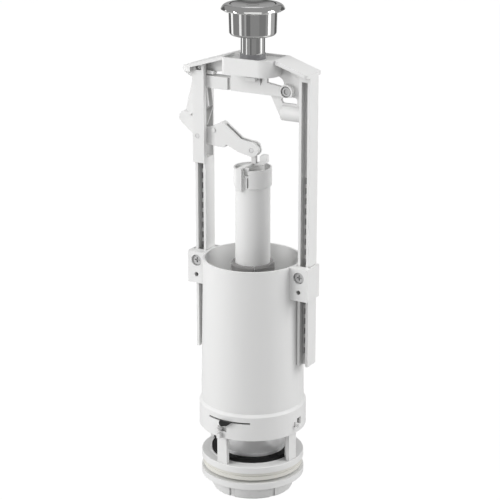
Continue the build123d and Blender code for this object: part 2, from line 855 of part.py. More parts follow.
    extrude(amount=-(rail_back - leg_front), mode=Mode.SUBTRACT)
    with BuildSketch(upright(gusset_front)):
        with Locations((rocker_pivot_x, rocker_pivot_z)):
            Circle(rocker_screw_r + fit)
    extrude(amount=-2 * gusset_thick, mode=Mode.SUBTRACT)
save(yoke.part, "yoke")

# Pin of the bell crank, through both walls of the left leg
with BuildPart() as crank_pin:
    with BuildSketch(upright(leg_front)):
        with Locations((crank_pivot_x, crank_pivot_z)):
            Circle(crank_pin_r)
    extrude(amount=-(rail_back - leg_front))
    chamfer(crank_pin.edges().filter_by(GeomType.CIRCLE), pin_bevel)
save(crank_pin.part, "crank_pin")

# Pivot screw of the rocker, with its head sunk in the hub
with BuildPart() as rocker_screw:
    with BuildSketch(upright(screw_front)):
        with Locations((rocker_pivot_x, rocker_pivot_z)):
            Circle(rocker_screw_head_r)
    extrude(amount=-rocker_screw_head)
    with BuildSketch(upright(screw_front)):
        with Locations((rocker_pivot_x, rocker_pivot_z)):
            Circle(rocker_screw_r)
    extrude(amount=-(gusset_front - screw_front + 2 * gusset_thick))
    with BuildSketch(upright(screw_front)):
        with Locations((rocker_pivot_x, rocker_pivot_z)):
            Circle(rocker_recess_r)
    extrude(amount=-rocker_recess_depth, mode=Mode.SUBTRACT)
save(rocker_screw.part, "rocker_screw")

# Rocker: plate with a raised middle, thick block that pushes the link, pad under the rod
with BuildPart() as rocker:
    with BuildSketch(upright(rocker_front)):
        outline([
            (rocker_groove, rocker_bottom),
            (rocker_pivot_x, rocker_bottom),
            (rocker_pivot_x, rocker_pivot_z + rocker_hub_r / 2),
            (rocker_neck_x, rocker_top),
            (rocker_neck_x, saddle_top),
            (rocker_groove, saddle_top),
        ])
        with Locations((rocker_pivot_x, rocker_pivot_z)):
            Circle(rocker_hub_r)
        with Locations((rocker_pivot_x, rocker_bottom)):
            Rectangle(2 * rocker_hub_r, rocker_hub_r, align=(Align.CENTER, Align.MAX), mode=Mode.SUBTRACT)
    extrude(amount=-rocker_thick)
    with BuildSketch(upright(hub_front)):
        with Locations((rocker_pivot_x, rocker_pivot_z)):
            Circle(rocker_hub_r)
        with Locations((rocker_pivot_x, rocker_bottom)):
            Rectangle(2 * rocker_hub_r, rocker_hub_r, align=(Align.CENTER, Align.MAX), mode=Mode.SUBTRACT)
    extrude(amount=-(rocker_hub_proud + rocker_thick))
    with BuildSketch(upright(rocker_front)):
        outline([
            (rocker_tip, rocker_bottom),
            (rocker_block_end, rocker_bottom),
            (rocker_block_end, rocker_top),
            (rocker_tip + rocker_nose, rocker_top),
            (rocker_tip, rocker_top - rocker_nose),
        ])
    extrude(amount=-rocker_block_thick)
    with BuildSketch(upright(rocker_front + rocker_groove_depth)):
        outline([
            (rocker_block_end, rocker_bottom),
            (rocker_groove, rocker_bottom),
            (rocker_groove, rocker_top),
            (rocker_block_end, rocker_top),
        ])
    extrude(amount=-(rocker_thick - rocker_groove_depth))
    with BuildSketch(Plane.XY.offset(saddle_top - pad_thick)):
        Rectangle(2 * pad_half, 2 * pad_half)
    extrude(amount=pad_thick)
    with BuildSketch(upright(rocker_front)):
        outline([
            (vee_left, saddle_top),
            (vee_foot_x, saddle_top - vee_height),
            (vee_right, saddle_top),
        ])
    extrude(amount=-vee_depth, mode=Mode.SUBTRACT)
    with BuildSketch(upright(hub_front)):
        with Locations((rocker_pivot_x, rocker_pivot_z)):
            Circle(rocker_screw_r + running)
    extrude(amount=-(rocker_hub_proud + rocker_thick), mode=Mode.SUBTRACT)
    with BuildSketch(upright(hub_front)):
        with Locations((rocker_pivot_x, rocker_pivot_z)):
            Circle(rocker_bore_r)
    extrude(amount=-rocker_bore_depth, mode=Mode.SUBTRACT)
save(rocker.part, "rocker")

# Push link in the left leg: two plates under the rocker, and a web whose foot presses the crank
tip = Vector(crank_pivot_x - crank_tip_out, crank_pivot_z + crank_tip_rise)
along = Vector(crank_tip_out, -crank_tip_rise).normalized()
foot_left = tip + along.rotate(Axis.Z, 90) * (crank_tip_r + slide)
foot_right = foot_left + along * link_foot_width
link_shoulder = [(link_step_x, 0), (link_step_x, link_step_height)]
plate_corners = link_edge + [link_toe] + link_sole + link_heel + link_shoulder
web_corners = link_sole + link_web_side + link_shoulder
link_back = cavity_back - slide
with BuildPart() as push_link:
    for plate_front in (rocker_front, link_back - link_plate):
        with BuildSketch(upright(plate_front)):
            outline(shifted(plate_corners, leg_middle, link_seat))
        extrude(amount=-link_plate)
    with BuildSketch(upright(rocker_front)):
        outline(
            shifted(link_edge, leg_middle, link_seat)
            + [(foot_left.X, foot_left.Y), (foot_right.X, foot_right.Y)]
            + shifted(web_corners, leg_middle, link_seat)
        )
    extrude(amount=-(link_back - rocker_front))
save(push_link.part, "push_link")

# Bell crank: outer arm, block on the pin and a fork that holds the end pin
with BuildPart() as bell_crank:
    with BuildSketch(upright(crank_front)):
        with Locations((tip.X, tip.Y)):
            Circle(crank_tip_r)
        with Locations((crank_pivot_x, crank_pivot_z)):
            Circle(crank_hub_r)
        make_hull()
        outline(
            [(crank_pivot_x, crank_pivot_z + crank_hub_r)]
            + shifted(crank_upper, crank_pivot_x, crank_pivot_z)
            + shifted(crank_tail, crank_end_x, crank_end_z)
            + shifted(crank_lower, crank_pivot_x, crank_pivot_z)
            + [(crank_pivot_x, crank_pivot_z - crank_hub_r)]
        )
        with Locations((crank_end_x, crank_end_z + crank_end_rise)):
            Circle(crank_end_r)
    extrude(amount=-crank_thick)
    with BuildSketch(upright(slot_front)):
        with Locations((crank_pivot_x + crank_slot_start, crank_end_z)):
            Rectangle(
                crank_end_x + 2 * crank_end_r - crank_pivot_x - crank_slot_start,
                crank_thick * crank_end_r,
                align=(Align.MIN, Align.CENTER),
            )
    extrude(amount=-(slot_back - slot_front), mode=Mode.SUBTRACT)
    with BuildSketch(upright(crank_front)):
        with Locations((crank_pivot_x + peg_x, crank_pivot_z + peg_z)):
            Circle(peg_r)
    extrude(amount=peg_reach)
    with BuildSketch(upright(crank_front)):
        with Locations((crank_pivot_x, crank_pivot_z)):
            Circle(crank_pin_r + running)
        with Locations((crank_end_x, crank_end_z)):
            Circle(end_pin_r + fit)
    extrude(amount=-crank_thick, mode=Mode.SUBTRACT)
save(bell_crank.part, "bell_crank")

# End pin of the crank, the pin that lifts the hanger
with BuildPart() as end_pin:
    with BuildSketch(upright(crank_front)):
        with Locations((crank_end_x, crank_end_z)):
            Circle(end_pin_r)
    extrude(amount=-crank_thick)
    chamfer(end_pin.edges().filter_by(GeomType.CIRCLE), pin_bevel)
save(end_pin.part, "end_pin")

# Hanger: a strap hooked over the cap with two tabs, a stem with the eye for the end pin, and a fin
strap_bottom = cap_top + gap
strap_top = strap_bottom + hanger_strap
strap_reach = cap_r + gap + hanger_strap
with BuildPart() as hanger:
    with BuildSketch(Plane.YZ.offset(hanger_left)):
        outline([
            (-strap_reach, cap_top - hanger_hook_drop),
            (-strap_reach + hanger_strap, cap_top - hanger_hook_drop),
            (-strap_reach + hanger_strap, strap_bottom),
            (hanger_strap_back, strap_bottom),
            (hanger_strap_back, strap_top),
            (-strap_reach, strap_top),
        ])
    extrude(amount=hanger_width)
    with BuildSketch(upright(hanger_tab_y)):
        outline([
            (hanger_left, cap_top - hanger_tab_drop),
            (hanger_tab_right, cap_top - hanger_tab_drop),
            (hanger_tab_right, strap_top),
            (hanger_left, strap_top),
        ])
    extrude(amount=-hanger_strap)
    with BuildSketch(upright(slot_front + gap)):
        outline([
            (hanger_left, strap_bottom),
            (fin_left, strap_bottom),
            (fin_right, strap_top + fin_rise / 2),
            (fin_right, strap_top + fin_rise),
            (fin_left, strap_top + fin_rise / 2),
            (crank_end_x + hanger_stem_right, strap_top),
            (crank_end_x + hanger_stem_right, crank_end_z - hanger_eye_r / 2),
            (crank_end_x - hanger_stem_left, crank_end_z - hanger_eye_r / 2),
            (crank_end_x - hanger_stem_left, strap_top),
            (hanger_left, strap_top),
        ])
        with Locations((crank_end_x, crank_end_z)):
            SlotCenterToCenter(2 * eye_play, 2 * hanger_eye_r)
            SlotCenterToCenter(2 * eye_play, 2 * (end_pin_r + slide), mode=Mode.SUBTRACT)
    extrude(amount=-(slot_back - slot_front - 2 * gap))
    with BuildSketch(upright(fin_front)):
        outline([
            (fin_left, cap_top - fin_leg_drop),
            (fin_left + fin_leg_width, cap_top - fin_leg_drop),
            (fin_left + fin_leg_width, strap_bottom + fin_rise),
            (fin_right, strap_bottom + fin_rise),
            (fin_right, strap_bottom + fin_rise + fin_height),
            (fin_left + fin_bevel, strap_bottom + fin_rise + fin_height),
            (fin_left, strap_bottom + fin_rise + fin_height - fin_bevel),
        ])
    extrude(amount=-fin_thick)
save(hanger.part, "hanger")

# Overflow tube, the riser that hangs from the hanger, slit at its top
with BuildPart() as overflow_tube:
    with BuildSketch(Plane.XY.offset(overflow_bottom)):
        Circle(overflow_r)
        Circle(overflow_r - overflow_wall, mode=Mode.SUBTRACT)
    extrude(amount=overflow_top - overflow_bottom)
    with BuildSketch(Plane.XY.offset(overflow_top - overflow_slit_depth)):
        with Locations(Location((0, 0, 0), (0, 0, overflow_slit_angle))):
            Rectangle(2 * overflow_r, overflow_slit, align=(Align.MIN, Align.CENTER))
    extrude(amount=overflow_slit_depth, mode=Mode.SUBTRACT)
save(overflow_tube.part, "overflow_tube")

# Cap: an open cup on the overflow tube, split in front, with a ledge inside
with BuildPart() as tube_cap:
    with BuildSketch(Plane.XZ):
        outline([
            (overflow_r + fit, cap_bottom),
            (cap_r - cap_bevel, cap_bottom),
            (cap_r, cap_bottom + cap_bevel),
            (cap_r, cap_top),
            (overflow_r + fit, cap_top),
            (overflow_r + fit, overflow_top + overflow_wall),
            (overflow_r - overflow_wall, overflow_top + overflow_wall),
            (overflow_r - overflow_wall, overflow_top),
            (overflow_r + fit, overflow_top),
        ])
    revolve(axis=Axis.Z)
    with BuildSketch(Plane.XY.offset(cap_bottom)):
        wedge(cap_slot_from, cap_slot_to)
        Circle(overflow_r + fit, mode=Mode.SUBTRACT)
    extrude(amount=cap_top - cap_bottom, mode=Mode.SUBTRACT)
save(tube_cap.part, "tube_cap")

# Bell: the valve plug with its long neck, in which the overflow tube slides
with BuildPart() as valve_bell:
    with BuildSketch(Plane.XZ):
        with BuildLine():
            Polyline(
                (bell_bore_r, bell_neck_top),
                (bell_bore_r, seal_bottom - retainer_height),
                (bell_spigot_r, seal_bottom - retainer_height),
                (bell_spigot_r, bell_bottom),
                (bell_rim_r, bell_bottom),
                (bell_rim_r, bell_bottom + bell_rim_height),
            )
            Spline(
                (bell_rim_r, bell_bottom + bell_rim_height),
                (bell_flare_r, bell_bottom + bell_flare_rise),
                (bell_neck_r, bell_bottom + bell_flare_height),
                tangents=[(-1, 0), (0, 1)],
            )
            Polyline(
                (bell_neck_r, bell_bottom + bell_flare_height),
                (bell_neck_r, bell_neck_top),
                (bell_bore_r, bell_neck_top),
            )
        make_face()
    revolve(axis=Axis.Z)
save(valve_bell.part, "valve_bell")

# Seal under the bell
with BuildPart() as main_seal:
    with BuildSketch(Plane.XY.offset(seal_bottom)):
        Circle(seal_r)
        Circle(bell_spigot_r + fit, mode=Mode.SUBTRACT)
    extrude(amount=seal_thick)
save(main_seal.part, "main_seal")

# Retainer that clamps the seal from below
with BuildPart() as seal_retainer:
    with BuildSketch(Plane.XY.offset(seal_bottom - retainer_height)):
        Circle(retainer_r)
        Circle(bell_spigot_r + fit, mode=Mode.SUBTRACT)
    extrude(amount=retainer_height)
save(seal_retainer.part, "seal_retainer")

# Split collar on top of the neck, which grips the overflow tube
with BuildPart() as neck_collar:
    with BuildSketch(Plane.XZ):
        outline([
            (bell_neck_r + fit, collar_bottom),
            (collar_r, collar_bottom),
            (collar_r, collar_top - collar_bevel),
            (collar_r - collar_bevel, collar_top),
            (bell_bore_r, collar_top),
            (bell_bore_r, bell_neck_top),
            (bell_neck_r + fit, bell_neck_top),
        ])
    revolve(axis=Axis.Z)
    with BuildSketch(Plane.XY.offset(collar_bottom)):
        with Locations(Location((0, 0, 0), (0, 0, collar_slit_angle))):
            Rectangle(2 * collar_r, collar_slit, align=(Align.MIN, Align.CENTER))
    extrude(amount=collar_top - collar_bottom, mode=Mode.SUBTRACT)
save(neck_collar.part, "neck_collar")

# Button housing: spigot and stem, cup and domed bezel in one piece
with BuildPart() as button_housing:
    with BuildSketch(Plane.XZ):
        with BuildLine():
            Polyline(
                (stem_r - stem_wall, cup_bottom + cup_floor),
                (stem_r - stem_wall, pocket_bottom),
                (stem_spigot_r, pocket_bottom),
                (stem_spigot_r, pocket_floor_top),
                (stem_r, pocket_floor_top),
                (stem_r, cup_bottom),
                (cup_r - cup_taper - cup_round, cup_bottom),
            )
            RadiusArc(
                (cup_r - cup_taper - cup_round, cup_bottom),
                (cup_r - cup_taper, cup_bottom + cup_round),
                -cup_round,
            )
            Polyline(
                (cup_r - cup_taper, cup_bottom + cup_round),
                (cup_r, bezel_under),
                (bezel_r - bezel_edge, bezel_under),
                (bezel_r, bezel_under + bezel_edge),
            )
            Spline(
                (bezel_r, bezel_under + bezel_edge),
                (cup_r + bezel_edge, bezel_top),
                tangents=[(-bezel_edge / 2, bezel_edge), (-1, 0)],
            )
            Polyline(
                (cup_r + bezel_edge, bezel_top),
                (cup_r - cup_wall, bezel_top),
                (cup_r - cup_wall, cup_bottom + cup_round),
                (cup_r - cup_wall - cup_round / 2, cup_bottom + cup_floor),
                (stem_r - stem_wall, cup_bottom + cup_floor),
            )
        make_face()
    revolve(axis=Axis.Z)
save(button_housing.part, "button_housing")

# Nut that holds the stem in the pocket
with BuildPart() as stem_nut:
    with BuildSketch(Plane.XY.offset(pocket_floor_top)):
        Circle(stem_nut_r)
        Circle(stem_r + fit, mode=Mode.SUBTRACT)
    extrude(amount=stem_nut_height)
save(stem_nut.part, "stem_nut")

# Push button: a dished disc with a skirt and a boss that holds the rod
button_r = cup_r - cup_wall - slide
with BuildPart() as push_button:
    with BuildSketch(Plane.XZ):
        with BuildLine():
            Polyline(
                (0, button_top - button_dish - dimple_depth),
                (0, button_top - button_boss_depth),
                (button_boss_r, button_top - button_boss_depth),
                (button_boss_r, button_top - button_dish - button_wall),
                (button_r - button_wall, button_top - button_wall),
                (button_r - button_wall, button_top - button_skirt),
                (button_r, button_top - button_skirt),
                (button_r, button_top - button_bevel),
                (button_r - button_bevel, button_top),
            )
            Spline(
                (button_r - button_bevel, button_top),
                (button_r / 2, button_top - button_dish * 3 / 4),
                (dimple_r, button_top - button_dish),
            )
            Spline(
                (dimple_r, button_top - button_dish),
                (dimple_r / 2, button_top - button_dish - dimple_depth * 3 / 4),
                (0, button_top - button_dish - dimple_depth),
                tangents=[(-1, -dimple_depth / dimple_r), (-1, 0)],
            )
        make_face()
    revolve(axis=Axis.Z)
    with BuildSketch(Plane.XY.offset(button_top - button_boss_depth)):
        Circle(rod_r + fit)
    extrude(amount=rod_grip, mode=Mode.SUBTRACT)
save(push_button.part, "push_button")

# Rod between the button and the rocker
with BuildPart() as push_rod:
    with BuildSketch(Plane.XY.offset(rod_bottom)):
        Circle(rod_r)
    extrude(amount=button_top - button_boss_depth + rod_grip - rod_bottom)
save(push_rod.part, "push_rod")

# Return spring of the button
spring_low = cup_bottom + cup_floor + spring_wire_r + gap
spring_high = button_top - button_dish - button_wall - spring_wire_r - gap
with BuildPart() as button_spring:
    with BuildLine():
        Helix(
            pitch=(spring_high - spring_low) / spring_turns,
            height=spring_high - spring_low,
            radius=spring_r,
            center=(0, 0, spring_low),
        )
    with BuildSketch(Plane(origin=(spring_r, 0, spring_low), z_dir=(0, 1, 0))):
        RegularPolygon(spring_wire_r, spring_sides)
    sweep(is_frenet=True)
save(button_spring.part, "button_spring")
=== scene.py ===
# %% [markdown]
# # A toilet flush valve in white plastic and chrome
# The model arrives with its shapes and joints. This lesson gives it a camera, a plain studio,
# a finish for every surface and the small moulded details that a solid model leaves out.
# Everything is in metres: X runs from leg to leg, Y to the back and Z up. Small sizes are
# written in millimetres and multiplied by MM.

# %% Load the model
import bmesh
import bpy
from math import atan2, cos, pi, radians, sin
from mathutils import Matrix, Vector


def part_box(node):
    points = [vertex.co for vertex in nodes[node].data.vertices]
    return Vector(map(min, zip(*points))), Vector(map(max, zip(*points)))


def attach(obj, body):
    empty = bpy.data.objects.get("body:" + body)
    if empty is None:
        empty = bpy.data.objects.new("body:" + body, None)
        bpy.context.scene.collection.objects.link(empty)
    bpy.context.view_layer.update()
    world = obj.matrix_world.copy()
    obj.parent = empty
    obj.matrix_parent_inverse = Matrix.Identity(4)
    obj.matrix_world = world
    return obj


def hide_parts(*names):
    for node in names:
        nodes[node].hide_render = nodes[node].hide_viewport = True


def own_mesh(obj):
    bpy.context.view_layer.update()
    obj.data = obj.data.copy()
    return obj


MM = 0.001
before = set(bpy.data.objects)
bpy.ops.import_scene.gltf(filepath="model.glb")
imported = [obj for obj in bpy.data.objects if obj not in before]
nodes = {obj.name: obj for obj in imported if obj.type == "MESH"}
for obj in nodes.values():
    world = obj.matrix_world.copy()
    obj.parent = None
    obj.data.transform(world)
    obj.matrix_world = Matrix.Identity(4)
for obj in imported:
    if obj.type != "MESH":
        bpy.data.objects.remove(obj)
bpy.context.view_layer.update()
bpy.ops.object.select_all(action="DESELECT")

# %% [markdown]
# ## Camera
# The photograph looks down a little, from the front right, through a long lens. The place of the
# camera comes from a fit to the edges of the tube, the rails and the button. The lens is worked
# out from a focal length in pixels and a square picture of 500 pixels.

# %% Camera
PICTURE = 500
FOCAL_PIXELS = 1843.4
AZIMUTH = radians(29.35)
PITCH = radians(17.93)
DISTANCE = 1.5285
LOOK_HEIGHT = 0.2105
LOOK_SIDE = 0.00231

side_way = Vector((cos(AZIMUTH), sin(AZIMUTH), 0))
back_way = Vector((sin(AZIMUTH) * cos(PITCH), -cos(AZIMUTH) * cos(PITCH), sin(PITCH)))
up_way = back_way.cross(side_way)

camera_data = bpy.data.cameras.new("photo_camera")
camera = bpy.data.objects.new("photo_camera", camera_data)
bpy.context.scene.collection.objects.link(camera)
camera_data.lens = camera_data.sensor_width * FOCAL_PIXELS / PICTURE
camera_data.clip_end = 20
camera.location = Vector((0, 0, LOOK_HEIGHT)) - LOOK_SIDE * side_way + DISTANCE * back_way
camera.rotation_euler = Matrix((side_way, up_way, back_way)).transposed().to_euler()
bpy.context.scene.camera = camera
bpy.context.scene.view_settings.view_transform = "Standard"
print("lens:", round(camera_data.lens, 2), "mm")

# %% [markdown]
# ## Shader sums
# A surface is described by a sum of patterns. Writing these sums as plain expressions is easier
# to read than wiring Math nodes one by one, so a small class wraps a socket and adds the node
# for each operator. Any other node comes from one method that sets its options first.

# %% A socket that can be added and multiplied
class Wire:
    """A socket of a node tree, for which each operator adds a Math node."""

    def __init__(self, owner, socket):
        self.owner = owner
        self.socket = socket

    def math(self, operation, first, second=0.0):
        return self.owner.node("ShaderNodeMath", {"operation": operation}, {0: first, 1: second})

    def __add__(self, other):
        return self.math("ADD", self, other)

    __radd__ = __add__

    def __sub__(self, other):
        return self.math("SUBTRACT", self, other)

    def __rsub__(self, other):
        return self.math("SUBTRACT", other, self)

    def __mul__(self, other):
        return self.math("MULTIPLY", self, other)

    __rmul__ = __mul__

    def __pow__(self, other):
        return self.math("POWER", self, other)

    def __abs__(self):
        return self.math("ABSOLUTE", self)

    def clamp(self):
        return self.owner.node("ShaderNodeClamp", {}, {"Value": self})


class Tree:
    """A node tree that is filled with one method."""

    def __init__(self, tree):
        self.tree = tree

    def node(self, kind, settings, inputs, output=0):
        """Add a node, set its options, then fill or link its sockets."""
        made = self.tree.nodes.new(kind)
        for name, value in settings.items():
            setattr(made, name, value)
        for name, value in inputs.items():
            if isinstance(value, Wire):
                self.tree.links.new(value.socket, made.inputs[name])
            else:
                made.inputs[name].default_value = value
        return Wire(self, made.outputs[output])

    def end(self, wire, name):
        """Link the last shader to the output node of this tree."""
        self.tree.links.new(wire.socket, self.tree.nodes[name].inputs[0])

    def seen(self):
        """1 for the camera, reflections and glass, and 0 for the light that falls on things."""
        rays = self.node("ShaderNodeLightPath", {}, {}).socket.node.outputs
        camera_ray = Wire(self, rays["Is Camera Ray"])
        glossy_ray = Wire(self, rays["Is Glossy Ray"])
        glass_ray = Wire(self, rays["Is Transmission Ray"])
        return (camera_ray + glossy_ray + glass_ray).clamp()


print("shader sums are ready")

# %% [markdown]
# A material adds its own helpers to that: noise on the object's own coordinates, a mix of two
# colours, a mask between heights or widths, painted shade in grooves, and bump over soft edges.
# Object coordinates keep a pattern fixed to the piece when the piece moves.

# %% A material in the making
class Paint(Tree):
    """A new material, with short names for the nodes that this lesson needs."""

    def __init__(self, name):
        self.material = bpy.data.materials.new(name)
        self.material.use_nodes = True
        super().__init__(self.material.node_tree)
        self.shader = self.tree.nodes["Principled BSDF"]
        self.place = self.node("ShaderNodeTexCoord", {}, {}, "Object")

    def noise(self, scale, detail, place=None):
        """Soft noise between 0 and 1, with its grain about 1 / scale metres wide."""
        inputs = {"Vector": place or self.place, "Scale": scale, "Detail": detail, "Roughness": 0.5}
        return self.node("ShaderNodeTexNoise", {}, inputs)

    def stretched(self, factors):
        """Object coordinates, scaled by a factor for each axis."""
        return self.node("ShaderNodeMapping", {}, {"Vector": self.place, "Scale": factors})

    def mix(self, factor, first, second):
        """A colour between two colours."""
        ends = [end if isinstance(end, Wire) else (*end, 1) for end in (first, second)]
        inputs = {"Factor": factor, 6: ends[0], 7: ends[1]}
        return self.node("ShaderNodeMix", {"data_type": "RGBA"}, inputs, 2)

    def painted_crevice_shade(self, reach):
        """Painted shade: 1 on open faces, and less in the piece's own grooves and corners within a
        reach.
        """
        settings = {"samples": 8, "only_local": True}
        return self.node("ShaderNodeAmbientOcclusion", settings, {"Distance": reach}, "AO")

    def step(self, value, low, high):
        """0 below low, 1 above high and smooth between, with both in millimetres."""
        settings = {"interpolation_type": "SMOOTHSTEP"}
        inputs = {"Value": value, "From Min": low * MM, "From Max": high * MM}
        return self.node("ShaderNodeMapRange", settings, inputs)

    def band(self, value, edges):
        """1 between the two middle edges and 0 outside the two outer ones, in millimetres."""
        start, full, fall, stop = edges
        return self.step(value, start, full) * (1 - self.step(value, fall, stop))

    def axes(self):
        """X, Y and Z of the object coordinates."""
        split = self.node("ShaderNodeSeparateXYZ", {}, {"Vector": self.place})
        return [Wire(self, output) for output in split.socket.node.outputs]

    def set(self, **values):
        """Give the shader's own sockets numbers, colours or links."""
        for name, value in values.items():
            socket = self.shader.inputs[name.replace("_", " ")]
            if isinstance(value, Wire):
                self.tree.links.new(value.socket, socket)
            elif isinstance(value, tuple):
                socket.default_value = (*value, 1)
            else:
                socket.default_value = value

    def relief(self, height, depth, edge=0.0):
        """Bump from a height in 0..1, over edges that look rounded by a small radius."""
        inputs = {"Height": height, "Strength": 1.0, "Distance": depth}
        if edge:
            inputs["Normal"] = self.node("ShaderNodeBevel", {"samples": 4}, {"Radius": edge})
        self.set(Normal=self.node("ShaderNodeBump", {}, inputs))


def srgb(red, green, blue):
    """A colour written in the 0..255 numbers of a picture, as the linear numbers of a shader."""
    return tuple(
        value / 12.92 if value <= 0.04045 else ((value + 0.055) / 1.055) ** 2.4
        for value in (red / 255, green / 255, blue / 255)
    )


def shade(colour, factor):
    """A colour that is darker by a factor."""
    return tuple(value * factor for value in colour)


print("middle grey in linear numbers:", [round(value, 3) for value in srgb(128, 128, 128)])

# %% [markdown]
# ## Studio floor
# The object stands on a plain pale floor. It is a real surface that catches a shadow, mixed with
# a white glow that only the camera, reflections and glass see. The glow makes the floor white
# in the picture without throwing more light on the valve.

# %% Floor
FLOOR_SIZE = 12
FLOOR_WHITE = 1.06
FLOOR_GLOW = 0.93

bpy.ops.mesh.primitive_plane_add(size=FLOOR_SIZE, location=(0, 0, 0))
floor = bpy.context.object
floor.name = "studio_floor"
floor_paint = Paint("pale_floor")
floor_paint.set(Base_Color=srgb(206, 206, 206), Roughness=0.9)
glow = floor_paint.node(
    "ShaderNodeEmission", {}, {"Color": (1, 1, 1, 1), "Strength": FLOOR_WHITE}
)
surface = Wire(floor_paint, floor_paint.shader.outputs[0])
blend = floor_paint.node(
    "ShaderNodeMixShader", {}, {0: floor_paint.seen() * FLOOR_GLOW, 1: surface, 2: glow}
)
floor_paint.end(blend, "Material Output")
floor.data.materials.append(floor_paint.material)
print("floor:", FLOOR_SIZE, "m wide")

# %% [markdown]
# ## World
# Behind the floor everything is white for the camera and for reflections. The light that falls
# on the object from all round is a plain grey, so that white plastic stays below full white.

# %% World
WORLD_LIGHT = 0.41

world = bpy.data.worlds.new("studio_world")
bpy.context.scene.world = world
world.use_nodes = True
room = Tree(world.node_tree)
room.tree.nodes.remove(room.tree.nodes["Background"])
soft = room.node(
    "ShaderNodeBackground", {}, {"Color": (*srgb(252, 252, 253), 1), "Strength": WORLD_LIGHT}
)
plain = room.node("ShaderNodeBackground", {}, {"Color": (1, 1, 1, 1), "Strength": 1.0})
room.end(room.node("ShaderNodeMixShader", {}, {0: room.seen(), 1: soft, 2: plain}), "World Output")
print("world light:", WORLD_LIGHT)

# %% [markdown]
# ## Lamps
# The plastic in the photograph is brightest at its sides, as between two big soft boxes. So one
# large lamp stands at the front left, one at the far right and a weak one at the left, and a
# weak one overhead lights the sloping arms. Chrome would show the overhead lamp as a white
# patch on the button, so reflections don't see it.

# %% Lamps
def lamp(name, azimuth, elevation, distance, width, height, watts):
    """A large area lamp that faces the middle of the valve, with its azimuth from the front."""
    data = bpy.data.lights.new(name, "AREA")
    data.shape = "RECTANGLE"
    data.size = width
    data.size_y = height
    data.energy = watts
    made = bpy.data.objects.new(name, data)
    bpy.context.scene.collection.objects.link(made)
    turn = radians(azimuth)
    rise = radians(elevation)
    way = Vector((sin(turn) * cos(rise), -cos(turn) * cos(rise), sin(rise)))
    made.location = Vector((0, 0, LOOK_HEIGHT)) + distance * way
    made.rotation_euler = way.to_track_quat("Z", "Y").to_euler()
    return made


lamp("front_box", -44, 20, 1.6, 0.6, 1.4, 15.0)
lamp("left_box", -90, 15, 1.6, 0.6, 1.6, 3.0)
lamp("right_box", 110, 27, 1.6, 0.6, 1.4, 13.0)
top_box = lamp("top_box", 30, 75, 1.5, 1.2, 0.8, 4.5)
top_box.visible_glossy = False
print("lamps:", len(bpy.data.lights))

# %% [markdown]
# ## Cards for the chrome
# Chrome has no colour of its own: it shows the room. A white room would make it look like paint,
# so grey cards stand round the valve, out of the picture, with a few narrow bright ones between
# them. Only reflections see them, so they take no light away from the white plastic. The camera
# looks down, so an upright chrome wall mirrors what stands near the floor. The cards touch,
# because a gap between two of them would show as a thin white line.

# %% Cards round the valve
CARD_DISTANCE = 0.8
CARD_TOP = 0.75
CARD_TURN = 15


def reflect_only(made, name, strength):
    """Make an object a glowing card that only reflections see."""
    made.name = name
    made.visible_camera = False
    made.visible_diffuse = False
    made.visible_transmission = False
    made.visible_shadow = False
    paint = Paint(name)
    paint.set(Base_Color=(0, 0, 0), Specular_IOR_Level=0.0)
    paint.set(Emission_Color=(1, 1, 1), Emission_Strength=strength)
    made.data.materials.append(paint.material)


def card(name, start, stop, strength):
    """A glowing upright card between two azimuths, counted from the camera."""
    bpy.ops.mesh.primitive_plane_add(size=1, location=(0, 0, 0))
    made = bpy.context.object
    corners = ((start, 0.0), (stop, 0.0), (start, CARD_TOP), (stop, CARD_TOP))
    for vertex, (azimuth, height) in zip(made.data.vertices, corners):
        turn = AZIMUTH + radians(azimuth)
        vertex.co = (CARD_DISTANCE * sin(turn), -CARD_DISTANCE * cos(turn), height)
    reflect_only(made, name, strength)


cards = [
    ("dark_left", -150, -122, 0.13),
    ("bright_left", -122, -106, 1.3),
    ("grey_left", -106, -67, 0.27),
    ("bright_front", -67, -55, 1.1),
    ("grey_front", -55, -40, 0.27),
    ("pale_front", -40, -31, 0.45),
    ("dark_front", -31, -12, 0.19),
    ("grey_middle", -12, 30, 0.30),
    ("grey_right", 30, 62, 0.24),
    ("soft_right", 62, 75, 0.36),
    ("bright_right", 75, 92, 1.5),
    ("pale_right", 92, 122, 0.50),
    ("dark_right", 122, 150, 0.13),
]
for name, start, stop, strength in cards:
    steps = max(1, round((stop - start) / CARD_TURN))
    for step in range(steps):
        first = start + (stop - start) * step / steps
        last = start + (stop - start) * (step + 1) / steps
        card(f"{name}_{step}", first, last, strength)
print("cards:", len(cards))

# %% [markdown]
# The flat button mirrors what hangs high behind the valve, and the domed bezel what hangs above
# it. Bands of grey at different heights give the button its darker middle, a grey ceiling keeps
# the bezel grey, and a bright card on the ceiling puts the shine on its front edge.

# %% Bands, ceiling and floor card
BAND_RADIUS = 1.3
BAND_TOP = 1.6
CEILING_GREY = 0.36

high_bands = [
    ("band_horizon", 0.46, 0.72, 0.38),
    ("band_pale", 0.72, 0.79, 0.31),
    ("band_dark", 0.79, 0.86, 0.16),
    ("band_grey", 0.86, 0.95, 0.30),
    ("band_top", 0.95, BAND_TOP, CEILING_GREY),
]
for name, low, high, strength in high_bands:
    bpy.ops.mesh.primitive_cylinder_add(
        vertices=72,
        radius=BAND_RADIUS,
        depth=high - low,
        location=(0, 0, (low + high) / 2),
        end_fill_type="NOTHING",
    )
    reflect_only(bpy.context.object, name, strength)


def disc(name, radius, height, strength):
    """A glowing flat disc about the axis."""
    bpy.ops.mesh.primitive_circle_add(
        vertices=36, radius=radius, location=(0, 0, height), fill_type="NGON"
    )
    reflect_only(bpy.context.object, name, strength)


